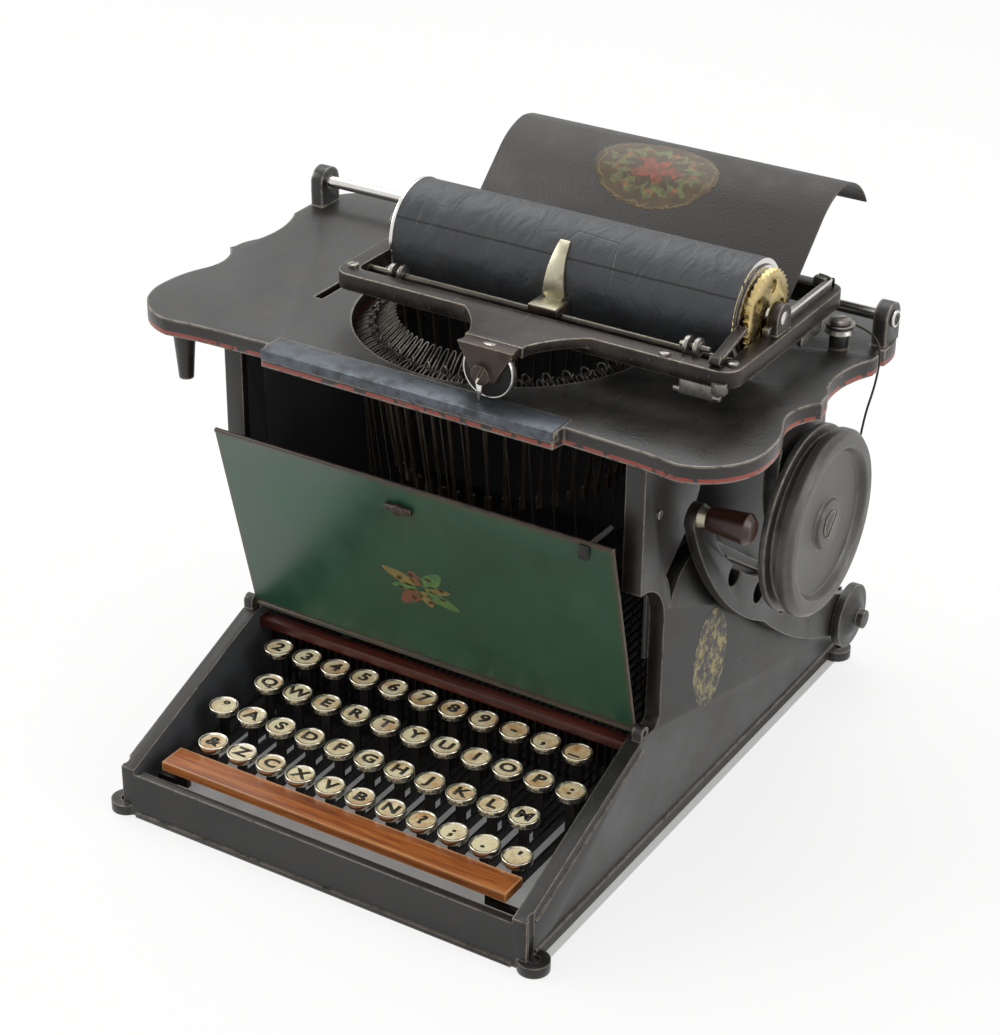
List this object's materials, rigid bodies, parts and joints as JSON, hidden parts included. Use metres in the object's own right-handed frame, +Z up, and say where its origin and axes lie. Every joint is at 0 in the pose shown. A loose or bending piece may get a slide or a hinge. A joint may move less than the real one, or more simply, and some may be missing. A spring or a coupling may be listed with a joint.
{
  "type": "typewriter",
  "caption": "Early desktop typewriter with hinged key levers, a lifting carriage on a rear rail, a spring drum and a fold-down keyboard cover.",
  "frame": {"origin": "centre of the footprint, on the surface it stands on", "axes": "+X to the typist's right, +Y from the keyboard to the rear, +Z up"},
  "size_m": [0.362, 0.365, 0.3205],
  "materials": {
    "japanned_iron": "satin",
    "bright_steel": "satin",
    "dark_steel": "satin",
    "walnut": "satin",
    "green_tin": "satin",
    "worn_brass": "matte",
    "crackled_tin": "matte",
    "platen_rubber": "satin",
    "waxed_cord": "matte"
  },
  "bodies": {
    "machine_base": {"base_frame": "japanned_iron", "top_plate": "japanned_iron", "carriage_ways": "bright_steel", "type_basket": "bright_steel", "draw_cord": "waxed_cord"},
    "space_bar": {"space_bar": "walnut"},
    "front_cover": {"front_cover": "green_tin"},
    "cover_catch": {"cover_catch": "worn_brass"},
    "carriage_sleeve": {"carriage_sleeve": "bright_steel"},
    "carriage_frame": {"carriage_frame": "dark_steel", "paper_table": "crackled_tin"},
    "platen": {"platen": "platen_rubber"},
    "line_pawl": {"line_pawl": "bright_steel"},
    "return_lever": {"return_lever": "japanned_iron"},
    "mainspring_drum": {"mainspring_drum": "japanned_iron"},
    "cord_pulley": {"cord_pulley": "bright_steel"},
    "key_row1_01": {"key_row1_01": "dark_steel"},
    "key_row1_02": {"key_row1_02": "dark_steel"},
    "key_row1_03": {"key_row1_03": "dark_steel"},
    "key_row1_04": {"key_row1_04": "dark_steel"},
    "key_row1_05": {"key_row1_05": "dark_steel"},
    "key_row1_06": {"key_row1_06": "dark_steel"},
    "key_row1_07": {"key_row1_07": "dark_steel"},
    "key_row1_08": {"key_row1_08": "dark_steel"},
    "key_row1_09": {"key_row1_09": "dark_steel"},
    "key_row1_10": {"key_row1_10": "dark_steel"},
    "key_row1_11": {"key_row1_11": "dark_steel"},
    "key_row2_01": {"key_row2_01": "dark_steel"},
    "key_row2_02": {"key_row2_02": "dark_steel"},
    "key_row2_03": {"key_row2_03": "dark_steel"},
    "key_row2_04": {"key_row2_04": "dark_steel"},
    "key_row2_05": {"key_row2_05": "dark_steel"},
    "key_row2_06": {"key_row2_06": "dark_steel"},
    "key_row2_07": {"key_row2_07": "dark_steel"},
    "key_row2_08": {"key_row2_08": "dark_steel"},
    "key_row2_09": {"key_row2_09": "dark_steel"},
    "key_row2_10": {"key_row2_10": "dark_steel"},
    "key_row2_11": {"key_row2_11": "dark_steel"},
    "key_row3_01": {"key_row3_01": "dark_steel"},
    "key_row3_02": {"key_row3_02": "dark_steel"},
    "key_row3_03": {"key_row3_03": "dark_steel"},
    "key_row3_04": {"key_row3_04": "dark_steel"},
    "key_row3_05": {"key_row3_05": "dark_steel"},
    "key_row3_06": {"key_row3_06": "dark_steel"},
    "key_row3_07": {"key_row3_07": "dark_steel"},
    "key_row3_08": {"key_row3_08": "dark_steel"},
    "key_row3_09": {"key_row3_09": "dark_steel"},
    "key_row3_10": {"key_row3_10": "dark_steel"},
    "key_row3_11": {"key_row3_11": "dark_steel"},
    "key_row4_01": {"key_row4_01": "dark_steel"},
    "key_row4_02": {"key_row4_02": "dark_steel"},
    "key_row4_03": {"key_row4_03": "dark_steel"},
    "key_row4_04": {"key_row4_04": "dark_steel"},
    "key_row4_05": {"key_row4_05": "dark_steel"},
    "key_row4_06": {"key_row4_06": "dark_steel"},
    "key_row4_07": {"key_row4_07": "dark_steel"},
    "key_row4_08": {"key_row4_08": "dark_steel"},
    "key_row4_09": {"key_row4_09": "dark_steel"},
    "key_row4_10": {"key_row4_10": "dark_steel"},
    "key_row4_11": {"key_row4_11": "dark_steel"}
  },
  "joints": [
    {"name": "space_bar_press", "type": "hinge", "parent": "machine_base", "child": "space_bar", "pos_m": [0, 0.1565, 0.019], "axis": [1, 0, 0], "range_deg": [0, 1.3], "stiffness_Nm_per_rad": 1.2, "springref_deg": -20.05},
    {"name": "cover_fold", "type": "hinge", "parent": "machine_base", "child": "front_cover", "pos_m": [0, -0.0639, 0.076], "axis": [1, 0, 0], "range_deg": [-4, 96]},
    {"name": "catch_turn", "type": "hinge", "parent": "front_cover", "child": "cover_catch", "pos_m": [-0.006, -0.08991, 0.18031], "axis": [0, 0.9703, 0.2419], "range_deg": [-90, 90]},
    {"name": "carriage_slide", "type": "slide", "parent": "machine_base", "child": "carriage_sleeve", "axis": [1, 0, 0], "range_m": [-0.136, 0.053]},
    {"name": "carriage_lift", "type": "hinge", "parent": "carriage_sleeve", "child": "carriage_frame", "pos_m": [0.041, 0.0875, 0.2638], "axis": [-1, 0, 0], "range_deg": [0, 70]},
    {"name": "platen_turn", "type": "hinge", "parent": "carriage_frame", "child": "platen", "pos_m": [0.041, 0.0085, 0.2874], "axis": [1, 0, 0], "continuous": true},
    {"name": "pawl_lift", "type": "hinge", "parent": "carriage_frame", "child": "line_pawl", "pos_m": [0.144, -0.044, 0.2827], "axis": [1, 0, 0], "range_deg": [0, 20]},
    {"name": "return_press", "type": "hinge", "parent": "machine_base", "child": "return_lever", "pos_m": [0.134, 0.1575, 0.04], "axis": [1, 0, 0], "range_deg": [0, 12], "stiffness_Nm_per_rad": 2, "springref_deg": -34.38},
    {"name": "drum_turn", "type": "hinge", "parent": "machine_base", "child": "mainspring_drum", "pos_m": [0.171, 0.0291, 0.1706], "axis": [1, 0, 0], "range_deg": [-70, 175]},
    {"name": "pulley_turn", "type": "hinge", "parent": "machine_base", "child": "cord_pulley", "pos_m": [0.1585, 0.0675, 0.2615], "axis": [0, 0, 1], "range_deg": [-450, 1150]},
    {"name": "key_row1_01_press", "type": "hinge", "parent": "machine_base", "child": "key_row1_01", "pos_m": [0, 0.1565, 0.019], "axis": [1, 0, 0], "range_deg": [0, 1.6], "stiffness_Nm_per_rad": 0.6, "springref_deg": -20.05},
    {"name": "key_row1_02_press", "type": "hinge", "parent": "machine_base", "child": "key_row1_02", "pos_m": [0, 0.1565, 0.019], "axis": [1, 0, 0], "range_deg": [0, 1.6], "stiffness_Nm_per_rad": 0.6, "springref_deg": -20.05},
    {"name": "key_row1_03_press", "type": "hinge", "parent": "machine_base", "child": "key_row1_03", "pos_m": [0, 0.1565, 0.019], "axis": [1, 0, 0], "range_deg": [0, 1.6], "stiffness_Nm_per_rad": 0.6, "springref_deg": -20.05},
    {"name": "key_row1_04_press", "type": "hinge", "parent": "machine_base", "child": "key_row1_04", "pos_m": [0, 0.1565, 0.019], "axis": [1, 0, 0], "range_deg": [0, 1.6], "stiffness_Nm_per_rad": 0.6, "springref_deg": -20.05},
    {"name": "key_row1_05_press", "type": "hinge", "parent": "machine_base", "child": "key_row1_05", "pos_m": [0, 0.1565, 0.019], "axis": [1, 0, 0], "range_deg": [0, 1.6], "stiffness_Nm_per_rad": 0.6, "springref_deg": -20.05},
    {"name": "key_row1_06_press", "type": "hinge", "parent": "machine_base", "child": "key_row1_06", "pos_m": [0, 0.1565, 0.019], "axis": [1, 0, 0], "range_deg": [0, 1.6], "stiffness_Nm_per_rad": 0.6, "springref_deg": -20.05},
    {"name": "key_row1_07_press", "type": "hinge", "parent": "machine_base", "child": "key_row1_07", "pos_m": [0, 0.1565, 0.019], "axis": [1, 0, 0], "range_deg": [0, 1.6], "stiffness_Nm_per_rad": 0.6, "springref_deg": -20.05},
    {"name": "key_row1_08_press", "type": "hinge", "parent": "machine_base", "child": "key_row1_08", "pos_m": [0, 0.1565, 0.019], "axis": [1, 0, 0], "range_deg": [0, 1.6], "stiffness_Nm_per_rad": 0.6, "springref_deg": -20.05},
    {"name": "key_row1_09_press", "type": "hinge", "parent": "machine_base", "child": "key_row1_09", "pos_m": [0, 0.1565, 0.019], "axis": [1, 0, 0], "range_deg": [0, 1.6], "stiffness_Nm_per_rad": 0.6, "springref_deg": -20.05},
    {"name": "key_row1_10_press", "type": "hinge", "parent": "machine_base", "child": "key_row1_10", "pos_m": [0, 0.1565, 0.019], "axis": [1, 0, 0], "range_deg": [0, 1.6], "stiffness_Nm_per_rad": 0.6, "springref_deg": -20.05},
    {"name": "key_row1_11_press", "type": "hinge", "parent": "machine_base", "child": "key_row1_11", "pos_m": [0, 0.1565, 0.019], "axis": [1, 0, 0], "range_deg": [0, 1.6], "stiffness_Nm_per_rad": 0.6, "springref_deg": -20.05},
    {"name": "key_row2_01_press", "type": "hinge", "parent": "machine_base", "child": "key_row2_01", "pos_m": [0, 0.1565, 0.019], "axis": [1, 0, 0], "range_deg": [0, 1.6], "stiffness_Nm_per_rad": 0.6, "springref_deg": -20.05},
    {"name": "key_row2_02_press", "type": "hinge", "parent": "machine_base", "child": "key_row2_02", "pos_m": [0, 0.1565, 0.019], "axis": [1, 0, 0], "range_deg": [0, 1.6], "stiffness_Nm_per_rad": 0.6, "springref_deg": -20.05},
    {"name": "key_row2_03_press", "type": "hinge", "parent": "machine_base", "child": "key_row2_03", "pos_m": [0, 0.1565, 0.019], "axis": [1, 0, 0], "range_deg": [0, 1.6], "stiffness_Nm_per_rad": 0.6, "springref_deg": -20.05},
    {"name": "key_row2_04_press", "type": "hinge", "parent": "machine_base", "child": "key_row2_04", "pos_m": [0, 0.1565, 0.019], "axis": [1, 0, 0], "range_deg": [0, 1.6], "stiffness_Nm_per_rad": 0.6, "springref_deg": -20.05},
    {"name": "key_row2_05_press", "type": "hinge", "parent": "machine_base", "child": "key_row2_05", "pos_m": [0, 0.1565, 0.019], "axis": [1, 0, 0], "range_deg": [0, 1.6], "stiffness_Nm_per_rad": 0.6, "springref_deg": -20.05},
    {"name": "key_row2_06_press", "type": "hinge", "parent": "machine_base", "child": "key_row2_06", "pos_m": [0, 0.1565, 0.019], "axis": [1, 0, 0], "range_deg": [0, 1.6], "stiffness_Nm_per_rad": 0.6, "springref_deg": -20.05},
    {"name": "key_row2_07_press", "type": "hinge", "parent": "machine_base", "child": "key_row2_07", "pos_m": [0, 0.1565, 0.019], "axis": [1, 0, 0], "range_deg": [0, 1.6], "stiffness_Nm_per_rad": 0.6, "springref_deg": -20.05},
    {"name": "key_row2_08_press", "type": "hinge", "parent": "machine_base", "child": "key_row2_08", "pos_m": [0, 0.1565, 0.019], "axis": [1, 0, 0], "range_deg": [0, 1.6], "stiffness_Nm_per_rad": 0.6, "springref_deg": -20.05},
    {"name": "key_row2_09_press", "type": "hinge", "parent": "machine_base", "child": "key_row2_09", "pos_m": [0, 0.1565, 0.019], "axis": [1, 0, 0], "range_deg": [0, 1.6], "stiffness_Nm_per_rad": 0.6, "springref_deg": -20.05},
    {"name": "key_row2_10_press", "type": "hinge", "parent": "machine_base", "child": "key_row2_10", "pos_m": [0, 0.1565, 0.019], "axis": [1, 0, 0], "range_deg": [0, 1.6], "stiffness_Nm_per_rad": 0.6, "springref_deg": -20.05},
    {"name": "key_row2_11_press", "type": "hinge", "parent": "machine_base", "child": "key_row2_11", "pos_m": [0, 0.1565, 0.019], "axis": [1, 0, 0], "range_deg": [0, 1.6], "stiffness_Nm_per_rad": 0.6, "springref_deg": -20.05},
    {"name": "key_row3_01_press", "type": "hinge", "parent": "machine_base", "child": "key_row3_01", "pos_m": [0, 0.1565, 0.019], "axis": [1, 0, 0], "range_deg": [0, 1.6], "stiffness_Nm_per_rad": 0.6, "springref_deg": -20.05},
    {"name": "key_row3_02_press", "type": "hinge", "parent": "machine_base", "child": "key_row3_02", "pos_m": [0, 0.1565, 0.019], "axis": [1, 0, 0], "range_deg": [0, 1.6], "stiffness_Nm_per_rad": 0.6, "springref_deg": -20.05},
    {"name": "key_row3_03_press", "type": "hinge", "parent": "machine_base", "child": "key_row3_03", "pos_m": [0, 0.1565, 0.019], "axis": [1, 0, 0], "range_deg": [0, 1.6], "stiffness_Nm_per_rad": 0.6, "springref_deg": -20.05},
    {"name": "key_row3_04_press", "type": "hinge", "parent": "machine_base", "child": "key_row3_04", "pos_m": [0, 0.1565, 0.019], "axis": [1, 0, 0], "range_deg": [0, 1.6], "stiffness_Nm_per_rad": 0.6, "springref_deg": -20.05},
    {"name": "key_row3_05_press", "type": "hinge", "parent": "machine_base", "child": "key_row3_05", "pos_m": [0, 0.1565, 0.019], "axis": [1, 0, 0], "range_deg": [0, 1.6], "stiffness_Nm_per_rad": 0.6, "springref_deg": -20.05},
    {"name": "key_row3_06_press", "type": "hinge", "parent": "machine_base", "child": "key_row3_06", "pos_m": [0, 0.1565, 0.019], "axis": [1, 0, 0], "range_deg": [0, 1.6], "stiffness_Nm_per_rad": 0.6, "springref_deg": -20.05},
    {"name": "key_row3_07_press", "type": "hinge", "parent": "machine_base", "child": "key_row3_07", "pos_m": [0, 0.1565, 0.019], "axis": [1, 0, 0], "range_deg": [0, 1.6], "stiffness_Nm_per_rad": 0.6, "springref_deg": -20.05},
    {"name": "key_row3_08_press", "type": "hinge", "parent": "machine_base", "child": "key_row3_08", "pos_m": [0, 0.1565, 0.019], "axis": [1, 0, 0], "range_deg": [0, 1.6], "stiffness_Nm_per_rad": 0.6, "springref_deg": -20.05},
    {"name": "key_row3_09_press", "type": "hinge", "parent": "machine_base", "child": "key_row3_09", "pos_m": [0, 0.1565, 0.019], "axis": [1, 0, 0], "range_deg": [0, 1.6], "stiffness_Nm_per_rad": 0.6, "springref_deg": -20.05},
    {"name": "key_row3_10_press", "type": "hinge", "parent": "machine_base", "child": "key_row3_10", "pos_m": [0, 0.1565, 0.019], "axis": [1, 0, 0], "range_deg": [0, 1.6], "stiffness_Nm_per_rad": 0.6, "springref_deg": -20.05},
    {"name": "key_row3_11_press", "type": "hinge", "parent": "machine_base", "child": "key_row3_11", "pos_m": [0, 0.1565, 0.019], "axis": [1, 0, 0], "range_deg": [0, 1.6], "stiffness_Nm_per_rad": 0.6, "springref_deg": -20.05},
    {"name": "key_row4_01_press", "type": "hinge", "parent": "machine_base", "child": "key_row4_01", "pos_m": [0, 0.1565, 0.019], "axis": [1, 0, 0], "range_deg": [0, 1.6], "stiffness_Nm_per_rad": 0.6, "springref_deg": -20.05},
    {"name": "key_row4_02_press", "type": "hinge", "parent": "machine_base", "child": "key_row4_02", "pos_m": [0, 0.1565, 0.019], "axis": [1, 0, 0], "range_deg": [0, 1.6], "stiffness_Nm_per_rad": 0.6, "springref_deg": -20.05},
    {"name": "key_row4_03_press", "type": "hinge", "parent": "machine_base", "child": "key_row4_03", "pos_m": [0, 0.1565, 0.019], "axis": [1, 0, 0], "range_deg": [0, 1.6], "stiffness_Nm_per_rad": 0.6, "springref_deg": -20.05},
    {"name": "key_row4_04_press", "type": "hinge", "parent": "machine_base", "child": "key_row4_04", "pos_m": [0, 0.1565, 0.019], "axis": [1, 0, 0], "range_deg": [0, 1.6], "stiffness_Nm_per_rad": 0.6, "springref_deg": -20.05},
    {"name": "key_row4_05_press", "type": "hinge", "parent": "machine_base", "child": "key_row4_05", "pos_m": [0, 0.1565, 0.019], "axis": [1, 0, 0], "range_deg": [0, 1.6], "stiffness_Nm_per_rad": 0.6, "springref_deg": -20.05},
    {"name": "key_row4_06_press", "type": "hinge", "parent": "machine_base", "child": "key_row4_06", "pos_m": [0, 0.1565, 0.019], "axis": [1, 0, 0], "range_deg": [0, 1.6], "stiffness_Nm_per_rad": 0.6, "springref_deg": -20.05},
    {"name": "key_row4_07_press", "type": "hinge", "parent": "machine_base", "child": "key_row4_07", "pos_m": [0, 0.1565, 0.019], "axis": [1, 0, 0], "range_deg": [0, 1.6], "stiffness_Nm_per_rad": 0.6, "springref_deg": -20.05},
    {"name": "key_row4_08_press", "type": "hinge", "parent": "machine_base", "child": "key_row4_08", "pos_m": [0, 0.1565, 0.019], "axis": [1, 0, 0], "range_deg": [0, 1.6], "stiffness_Nm_per_rad": 0.6, "springref_deg": -20.05},
    {"name": "key_row4_09_press", "type": "hinge", "parent": "machine_base", "child": "key_row4_09", "pos_m": [0, 0.1565, 0.019], "axis": [1, 0, 0], "range_deg": [0, 1.6], "stiffness_Nm_per_rad": 0.6, "springref_deg": -20.05},
    {"name": "key_row4_10_press", "type": "hinge", "parent": "machine_base", "child": "key_row4_10", "pos_m": [0, 0.1565, 0.019], "axis": [1, 0, 0], "range_deg": [0, 1.6], "stiffness_Nm_per_rad": 0.6, "springref_deg": -20.05},
    {"name": "key_row4_11_press", "type": "hinge", "parent": "machine_base", "child": "key_row4_11", "pos_m": [0, 0.1565, 0.019], "axis": [1, 0, 0], "range_deg": [0, 1.6], "stiffness_Nm_per_rad": 0.6, "springref_deg": -20.05}
  ],
  "couplings": [
    {"joint": "drum_turn", "follows": "carriage_slide", "rad_per_m": -22.222},
    {"joint": "pulley_turn", "follows": "carriage_slide", "rad_per_m": -147.06}
  ]
}
